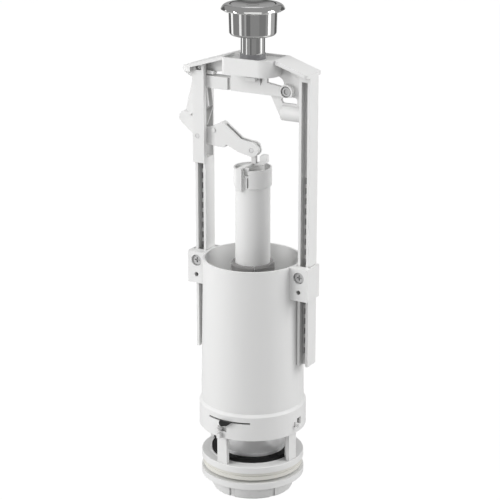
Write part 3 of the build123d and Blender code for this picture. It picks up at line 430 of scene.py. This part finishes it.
SHINE_DISTANCE = 0.95
SHINE_SIZE = (1.4, 0.35, 1)
SHINE_HEIGHT = 1.59
disc("ceiling", BAND_RADIUS, BAND_TOP, CEILING_GREY)
bpy.ops.mesh.primitive_plane_add(
    size=1,
    location=(SHINE_DISTANCE * sin(AZIMUTH), -SHINE_DISTANCE * cos(AZIMUTH), SHINE_HEIGHT),
    rotation=(0, 0, AZIMUTH),
)
bpy.context.object.scale = SHINE_SIZE
reflect_only(bpy.context.object, "ceiling_front", 1.1)
disc("floor_card", CARD_DISTANCE, 0.001, 0.4)
print("bands:", len(high_bands))

# %% [markdown]
# ## Moulded plastic
# White moulded plastic is the main finish. It is satin, with a very fine grain, a faint mottle
# in its colour and gloss, and edges that are never perfectly sharp. Grooves and inner corners
# get painted shade: their colour is a little darker than that of an open face. Two pieces have
# one more place of painted shade: the notches of the racks, which are too shallow to shade
# themselves, and the back wall inside the left leg, where little light comes in. Each is a mask
# between widths and depths on the piece itself.

# %% Moulded plastic
# How far the painted shade in grooves reaches, and how dark it gets.
GROOVE_REACH = 0.008
GROOVE_SHADE = 0.6
GRAIN_DEPTH = 0.00001
SOFT_EDGE = 0.00015
# Painted shade in the notches of the racks: widths, depths and darkness.
RACK_ACROSS = (46.6, 46.9, 50.8, 50.9)
RACK_DEPTH = (3.4, 3.6, 4.2, 4.3)
RACK_SHADE = 0.25
# Painted shade on the back wall inside the left leg: widths, depths and darkness.
WALL_ACROSS = (-54.5, -54.0, -43.5, -43.0)
WALL_DEPTH = (9.8, 10.0, 10.1, 10.2)
WALL_SHADE = 0.6
PAINTED_SHADE_PLACES = {
    "rack": (RACK_ACROSS, RACK_DEPTH, RACK_SHADE),
    "wall": (WALL_ACROSS, WALL_DEPTH, WALL_SHADE),
}


def moulded(name, colour, gloss=0.42, tint=0.018, dark=None):
    """Satin moulded plastic: fine grain, cloudy gloss, soft edges and painted shade in grooves."""
    paint = Paint(name)
    cloud = paint.noise(38, 3)
    flow = paint.noise(9, 2, paint.stretched((1.0, 1.0, 0.25)))
    speck = paint.noise(1800, 1)
    mottle = paint.mix((cloud * 0.5 + flow * 0.5).clamp(), shade(colour, 1 - tint), colour)
    # Painted shade: grooves and inner corners of the piece get a darker colour.
    shaded = paint.mix(paint.painted_crevice_shade(GROOVE_REACH), shade(colour, GROOVE_SHADE), mottle)
    # Painted shade on one more place of the piece: the rack notches or the back wall of the left
    # leg.
    if dark:
        width_edges, depth_edges, factor = PAINTED_SHADE_PLACES[dark]
        across, depth, _ = paint.axes()
        if dark == "rack":
            across = abs(across)
        place = paint.band(across, width_edges) * paint.band(depth, depth_edges)
        shaded = paint.mix(place, shaded, shade(colour, factor))
    paint.set(Base_Color=shaded, Roughness=(gloss - 0.07) + cloud * 0.1 + speck * 0.05)
    paint.set(IOR=1.49, Specular_IOR_Level=0.5)
    paint.relief(speck * 0.7 + cloud * 0.3, GRAIN_DEPTH, SOFT_EDGE)
    return paint.material


WHITE = srgb(238, 238, 237)
white_plastic = moulded("white_plastic", WHITE)
pin_plastic = moulded("pin_plastic", srgb(226, 226, 226), gloss=0.36)
screw_plastic = moulded("screw_plastic", srgb(200, 200, 200), gloss=0.3)
# Painted shade in the rack notches.
rack_plastic = moulded("rack_plastic", WHITE, dark="rack")
# Painted shade on the back wall inside the left leg.
yoke_plastic = moulded("yoke_plastic", WHITE, dark="wall")
# Painted highlight: the rib is paler than the white plastic, so it stands out as lit against the
# wall.
painted_light_rib_plastic = moulded("painted_light_rib_plastic", srgb(246, 246, 246))
nut_plastic = moulded("nut_plastic", srgb(126, 126, 128), gloss=0.25)
grey_plastic = moulded("grey_plastic", srgb(176, 178, 181))
black_plastic = moulded("black_plastic", srgb(24, 24, 24), gloss=0.5, tint=0.15)
print("moulded white:", [round(value, 3) for value in WHITE])

# %% [markdown]
# ## Rubber
# The seal is black rubber and the gasket a soft cream one. Both are matte, a little dusty, and
# full of fine pores, so their bump is deeper than that of the plastic and their shine weaker.

# %% Rubber
def rubber(name, colour, gloss, tint):
    """Moulded rubber: matte, with a dusty mottle and fine pores."""
    paint = Paint(name)
    dust = paint.noise(120, 4)
    pores = paint.noise(1400, 2)
    paint.set(Base_Color=paint.mix(dust, shade(colour, 1 - tint), colour))
    paint.set(Roughness=gloss + dust * 0.15, Specular_IOR_Level=0.3)
    paint.relief(pores, 0.00004, 0.0004)
    return paint.material


black_rubber = rubber("black_rubber", srgb(20, 20, 20), 0.6, 0.3)
cream_rubber = rubber("cream_rubber", srgb(231, 230, 223), 0.6, 0.05)
print("rubbers:", black_rubber.name, cream_rubber.name)

# %% [markdown]
# ## Smoked and silvery plastic
# The collar of the neck is smoked plastic, through which some light comes. The bell below it
# reads as silvery: satin, with a broad soft shine, so it gets a little metal under a thin coat,
# and it gets painted shade where it turns up into its neck.

# %% Smoked and silvery plastic
def smoked(name, colour):
    """Translucent grey plastic: glossy, and some light comes through."""
    paint = Paint(name)
    cloud = paint.noise(45, 2)
    paint.set(Base_Color=paint.mix(cloud, shade(colour, 0.92), colour))
    paint.set(Roughness=0.14 + cloud * 0.06, IOR=1.49, Transmission_Weight=0.4, Coat_Weight=0.3)
    paint.relief(cloud, GRAIN_DEPTH, 0.0003)
    return paint.material


def silvery(name, colour):
    """Satin silvery plastic with a soft broad shine, and painted shade towards the neck."""
    paint = Paint(name)
    cloud = paint.noise(45, 2)
    pale = paint.mix(cloud, shade(colour, 0.95), colour)
    # Painted shade: the bell's corners and the turn into its neck get a darker colour.
    paint.set(Base_Color=paint.mix(paint.painted_crevice_shade(GROOVE_REACH), shade(colour, 0.6), pale))
    paint.set(Metallic=0.2, Roughness=0.32 + cloud * 0.05, IOR=1.5, Coat_Weight=0.3)
    paint.relief(cloud, GRAIN_DEPTH, 0.0003)
    return paint.material


smoked_plastic = smoked("smoked_plastic", srgb(176, 175, 174))
silver_plastic = silvery("silver_plastic", srgb(236, 236, 236))
print("plastics:", smoked_plastic.name, silver_plastic.name)

# %% [markdown]
# ## Chrome and spring wire
# Chrome plate on moulded plastic is a clear mirror with a hardly visible ripple and a few smears
# that blur it. Between the button and the bezel there is a narrow gap that reads as a dark
# line, so a thin ring at that radius gets painted shade, near black. The ring also covers the
# bezel's inner wall at that radius. The spring is drawn wire, duller and streaky.

# %% Chrome and spring wire
CHROME_LEVEL = 226
CHROME_BLUR = 0.03
# Radii of the ring of painted shade in the gap between the button and the bezel.
GAP_SHADE_RADIUS = (18.32, 18.38, 18.77, 18.82)


def chrome(name):
    """Chrome plate over plastic, with painted shade in a ring where the button meets the bezel."""
    paint = Paint(name)
    ripple = paint.noise(60, 1)
    smear = paint.noise(220, 3)
    across, depth, _ = paint.axes()
    # Painted shade: a near-black ring at the radius of the gap, which also darkens the bezel's
    # inner wall.
    gap = paint.band((across * across + depth * depth) ** 0.5, GAP_SHADE_RADIUS)
    dull = srgb(CHROME_LEVEL - 8, CHROME_LEVEL - 8, CHROME_LEVEL - 10)
    plated = paint.mix(smear, dull, srgb(CHROME_LEVEL, CHROME_LEVEL, CHROME_LEVEL))
    paint.set(Base_Color=paint.mix(gap, plated, srgb(30, 30, 30)))
    paint.set(Metallic=1.0, Roughness=CHROME_BLUR + smear * 0.03)
    paint.relief(ripple, GRAIN_DEPTH, 0.0002)
    return paint.material


def wire_steel(name):
    """Drawn spring wire."""
    paint = Paint(name)
    draw = paint.noise(600, 3)
    paint.set(Base_Color=paint.mix(draw, srgb(150, 150, 152), srgb(180, 180, 182)))
    paint.set(Metallic=1.0, Roughness=0.25 + draw * 0.2)
    paint.relief(draw, 0.00002)
    return paint.material


chrome_plate = chrome("chrome_plate")
spring_steel = wire_steel("spring_steel")
print("metals:", chrome_plate.name, spring_steel.name)

# %% [markdown]
# ## Helpers for modelling
# A few forms show in the photograph that the solids leave out. Each starts as a primitive at its
# place and is shaped in edit mode, as by hand. A few helpers do what every piece needs: pick
# faces, edges or vertices by their place, start a piece from the new primitive, make a ring,
# and hand the piece over with its finish, slot and body. NEAR is how close, in millimetres, a
# vertex has to be to a height to count as being there.

# %% Helpers for modelling
MERGE = 0.00001
NEAR = 0.05
SMOOTH_ANGLE = radians(35)


def pick(piece, kind, test):
    """Select only the vertices, edges or faces of the piece in edit mode that pass a test."""
    bpy.ops.mesh.select_all(action="DESELECT")
    bpy.ops.mesh.select_mode(type=kind)
    mesh = bmesh.from_edit_mesh(piece.data)
    for item in {"VERT": mesh.verts, "EDGE": mesh.edges, "FACE": mesh.faces}[kind]:
        if test(item):
            item.select_set(True)
    mesh.select_flush_mode()
    bmesh.update_edit_mesh(piece.data)


def up(vertex):
    """How high a vertex is, in millimetres."""
    return vertex.co.z / MM


def out(vertex):
    """How far a vertex is from the axis, in millimetres."""
    return vertex.co.xy.length / MM


def start_piece(name):
    """Name the new primitive, put its place into its mesh and open it in edit mode."""
    piece = bpy.context.object
    piece.name = name
    bpy.ops.object.transform_apply(location=True, rotation=True, scale=True)
    bpy.ops.object.mode_set(mode="EDIT")
    return piece


def ring(name, outer, inner, low, high, sides):
    """A ring about the axis, left in edit mode: the ends of a cylinder inset and bridged."""
    bpy.ops.object.select_all(action="DESELECT")
    bpy.ops.mesh.primitive_cylinder_add(
        vertices=sides,
        radius=outer * MM,
        depth=(high - low) * MM,
        location=(0, 0, (low + high) / 2 * MM),
    )
    piece = start_piece(name)
    pick(piece, "FACE", lambda face: abs(face.normal.z) > 0.9)
    bpy.ops.mesh.inset(thickness=(outer - inner) * MM, use_individual=True)
    bpy.ops.mesh.bridge_edge_loops()
    return piece


def hand_over(piece, finish, body):
    """Close the piece: outward faces, smooth shading, finish, slot and body."""
    bpy.ops.mesh.select_all(action="SELECT")
    bpy.ops.mesh.remove_doubles(threshold=MERGE)
    bpy.ops.mesh.normals_make_consistent(inside=False)
    bpy.ops.object.mode_set(mode="OBJECT")
    bpy.ops.object.shade_smooth_by_angle(angle=SMOOTH_ANGLE)
    piece.data.materials.clear()
    piece.data.materials.append(finish)
    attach(piece, body)
    piece.select_set(False)
    places = [point.co / MM for point in piece.data.vertices]
    low = [round(min(place[axis] for place in places), 2) for axis in range(3)]
    high = [round(max(place[axis] for place in places), 2) for axis in range(3)]
    print(piece.name, "faces:", len(piece.data.polygons), "from", low, "to", high)


print("points closer than", MERGE / MM, "mm are merged")

# %% [markdown]
# ## Gasket
# The soft gasket is one thick ring with a shallow groove that parts it into two bands. It is
# easiest as a ring that is cut at three heights: the middle cut is drawn in a little for the
# groove, and the two outer edges are rounded, as soft rubber always is.

# %% Gasket with a groove round it
GASKET_INNER = 30.1
GASKET_SIDES = 128
GROOVE_RISE = 0.4
GROOVE_HALF = 0.45
GROOVE_SCALE = 0.98
GASKET_ROUND = 0.5


def gasket():
    """The soft gasket, with its groove and its rounded edges."""
    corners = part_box("base_gasket")
    low, high = corners[0][2] / MM, corners[1][2] / MM
    outer = corners[1][0] / MM
    piece = ring("gasket_ring", outer, GASKET_INNER, low, high, GASKET_SIDES)
    middle = (low + high) / 2 + GROOVE_RISE
    for cut in (middle - GROOVE_HALF, middle, middle + GROOVE_HALF):
        bpy.ops.mesh.select_all(action="SELECT")
        bpy.ops.mesh.bisect(plane_co=(0, 0, cut * MM), plane_no=(0, 0, 1))
    pick(piece, "VERT", lambda v: abs(up(v) - middle) < NEAR and out(v) > outer - 1)
    bpy.ops.transform.resize(value=(GROOVE_SCALE, GROOVE_SCALE, 1))

    def rim(edge):
        """Whether an edge runs round the upper or the lower corner of the outside."""
        first, last = edge.verts
        outside = min(out(first), out(last)) > outer - 0.5
        level = abs(up(first) - up(last)) < NEAR
        at_end = min(abs(up(first) - low), abs(up(first) - high)) < NEAR
        return outside and level and at_end

    pick(piece, "EDGE", rim)
    bpy.ops.mesh.bevel(offset=GASKET_ROUND * MM, segments=3, affect="EDGES")
    hand_over(piece, cream_rubber, "base")
    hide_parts("base_gasket")


gasket()

# %% [markdown]
# ## Floor of the pocket
# The pocket on top of the frame is closed by a thin floor just under its rim, with a hole for
# the stem. It starts as a plane of the pocket's size. The two front corners are rounded before
# the plane gets its thickness, and a short cylinder cuts the hole.

# %% Floor of the pocket
PLATE_TOP = 372.3
PLATE_THICK = 1.5
PLATE_X = (-19.25, 22.85)
PLATE_Y = (-14.05, 14.25)
RIGHT_ROUND = 10.2
LEFT_ROUND = 1.8
STEM_R = 10.05


def cut_hole(piece):
    """Cut a hole for the stem through a piece, with a modifier that is applied."""
    bpy.ops.mesh.primitive_cylinder_add(
        vertices=96, radius=STEM_R * MM, depth=10 * MM, location=(0, 0, PLATE_TOP * MM)
    )
    cutter = bpy.context.object
    bpy.ops.object.select_all(action="DESELECT")
    bpy.context.view_layer.objects.active = piece
    piece.select_set(True)
    hole = piece.modifiers.new("stem_hole", "BOOLEAN")
    hole.object = cutter
    hole.operation = "DIFFERENCE"
    bpy.ops.object.modifier_apply(modifier="stem_hole")
    bpy.data.objects.remove(cutter)


def pocket_plate():
    """The floor that closes the pocket just under its rim."""
    (left, right), (front, back) = PLATE_X, PLATE_Y
    middle = ((left + right) / 2 * MM, (front + back) / 2 * MM, PLATE_TOP * MM)
    bpy.ops.object.select_all(action="DESELECT")
    bpy.ops.mesh.primitive_plane_add(size=MM, location=middle)
    bpy.context.object.scale = (right - left, back - front, 1)
    piece = start_piece("pocket_floor")
    for side, rounding in ((right, RIGHT_ROUND), (left, LEFT_ROUND)):
        corner = Vector((side, front)) * MM
        pick(piece, "VERT", lambda v: (v.co.xy - corner).length < 0.1 * MM)
        bpy.ops.mesh.bevel(offset=rounding * MM, segments=8, affect="VERTICES")
    bpy.ops.mesh.select_all(action="SELECT")
    bpy.ops.mesh.extrude_region_move(
        TRANSFORM_OT_translate={"value": (0, 0, -PLATE_THICK * MM)}
    )
    bpy.ops.mesh.select_all(action="SELECT")
    bpy.ops.mesh.normals_make_consistent(inside=False)
    bpy.ops.object.mode_set(mode="OBJECT")
    cut_hole(piece)
    bpy.ops.object.mode_set(mode="EDIT")
    hand_over(piece, white_plastic, "frame")


pocket_plate()

# %% [markdown]
# ## Ring at the foot of the stem
# A dark ring stands round the stem where it goes into the pocket. It is the upper edge of the
# nut that holds the stem, so it has that nut's finish, and its top edge is softened.

# %% Ring at the foot of the stem
FOOT_OUTER = 10.45
FOOT_HEIGHT = 4.5
FOOT_SIDES = 96


def stem_ring():
    """The dark ring round the foot of the stem, with a softened upper edge."""
    top = PLATE_TOP + FOOT_HEIGHT
    piece = ring("stem_foot_ring", FOOT_OUTER, STEM_R, PLATE_TOP, top, FOOT_SIDES)

    def rim(edge):
        """Whether an edge runs round the upper outside corner."""
        return all(up(v) > top - NEAR and out(v) > FOOT_OUTER - 0.15 for v in edge.verts)

    pick(piece, "EDGE", rim)
    bpy.ops.mesh.bevel(offset=0.25 * MM, segments=2, affect="EDGES")
    hand_over(piece, nut_plastic, "frame")


stem_ring()

# %% [markdown]
# ## Rib in the left leg
# A thin rib runs slantwise across the back wall inside the left leg, above the crank. The link
# slides past it, so it is very low. It shows because its colour is painted paler than the white
# plastic, a painted highlight against the painted shade on the wall. It is a narrow plane, tilted
# along the rib, raised from the wall and softened round its face.

# %% Diagonal rib inside the left leg
RIB_FOOT = Vector((-48.8, 309.3))
RIB_HEAD = Vector((-43.4, 324.9))
RIB_WALL = 10.05
RIB_WIDTH = 0.9
RIB_DEPTH = 0.25
RIB_ROUND = 0.08


def leg_rib():
    """The thin rib across the back wall of the left leg, above the crank."""
    run = RIB_HEAD - RIB_FOOT
    middle = (RIB_FOOT + RIB_HEAD) / 2
    bpy.ops.object.select_all(action="DESELECT")
    bpy.ops.mesh.primitive_plane_add(
        size=MM,
        location=(middle.x * MM, RIB_WALL * MM, middle.y * MM),
        rotation=(pi / 2, -atan2(run.y, run.x), 0),
    )
    bpy.context.object.scale = (run.length, RIB_WIDTH, 1)
    piece = start_piece("leg_rib")
    bpy.ops.mesh.select_all(action="SELECT")
    bpy.ops.mesh.extrude_region_move(TRANSFORM_OT_translate={"value": (0, -RIB_DEPTH * MM, 0)})
    bpy.ops.mesh.bevel(offset=RIB_ROUND * MM, segments=2, affect="EDGES")
    hand_over(piece, painted_light_rib_plastic, "frame")


leg_rib()

# %% [markdown]
# ## Return spring
# The return spring sits between the cup and the button. A rigid coil would push through the
# button as it goes down. This one is wound again, as a small circle that a Screw modifier
# sweeps round the axis, and it is tied to the frame, so it keeps its length.

# %% Return spring
SPRING_R = 8.6
WIRE_R = 0.5
TURNS = 5


def return_spring():
    """A coil of round wire over the height of the model's spring, tied to the frame."""
    low, high = (corner[2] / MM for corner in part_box("button_spring"))
    rise = high - low - 2 * WIRE_R
    bpy.ops.object.select_all(action="DESELECT")
    bpy.ops.mesh.primitive_circle_add(
        vertices=10,
        radius=WIRE_R * MM,
        location=(SPRING_R * MM, 0, (low + WIRE_R) * MM),
        rotation=(pi / 2, 0, 0),
    )
    piece = start_piece("return_spring")
    bpy.ops.object.mode_set(mode="OBJECT")
    coil = piece.modifiers.new("coil", "SCREW")
    coil.axis = "Z"
    coil.angle = 2 * pi
    coil.iterations = TURNS
    coil.screw_offset = rise / TURNS * MM
    coil.steps = 24
    coil.render_steps = 24
    bpy.ops.object.modifier_apply(modifier="coil")
    bpy.ops.object.mode_set(mode="EDIT")
    bpy.ops.mesh.select_all(action="SELECT")
    bpy.ops.mesh.fill_holes(sides=0)
    hand_over(piece, spring_steel, "frame")
    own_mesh(piece)
    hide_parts("button_spring")


return_spring()

# %% [markdown]
# ## Finishes of the model's own pieces
# All other pieces keep their shape and only get their finish. Most are white, so the list names
# only those that aren't.

# %% Put the finishes on the model's own pieces
finish_of = {
    "base_gasket": cream_rubber,
    "main_seal": black_rubber,
    "flow_slider": black_plastic,
    "valve_bell": silver_plastic,
    "neck_collar": smoked_plastic,
    "seal_retainer": grey_plastic,
    "stem_nut": nut_plastic,
    "yoke": yoke_plastic,
    "left_rail": rack_plastic,
    "right_rail": rack_plastic,
    "push_rod": grey_plastic,
    "crank_pin": pin_plastic,
    "end_pin": pin_plastic,
    "rail_screws": screw_plastic,
    "rocker_screw": screw_plastic,
    "button_housing": chrome_plate,
    "push_button": chrome_plate,
    "button_spring": spring_steel,
}
for name, piece in nodes.items():
    finish = finish_of.get(name, white_plastic)
    for slot in piece.material_slots:
        slot.material = finish
    if not piece.material_slots:
        piece.data.materials.append(finish)
print("finished:", len(nodes), "of them not white:", len(finish_of))
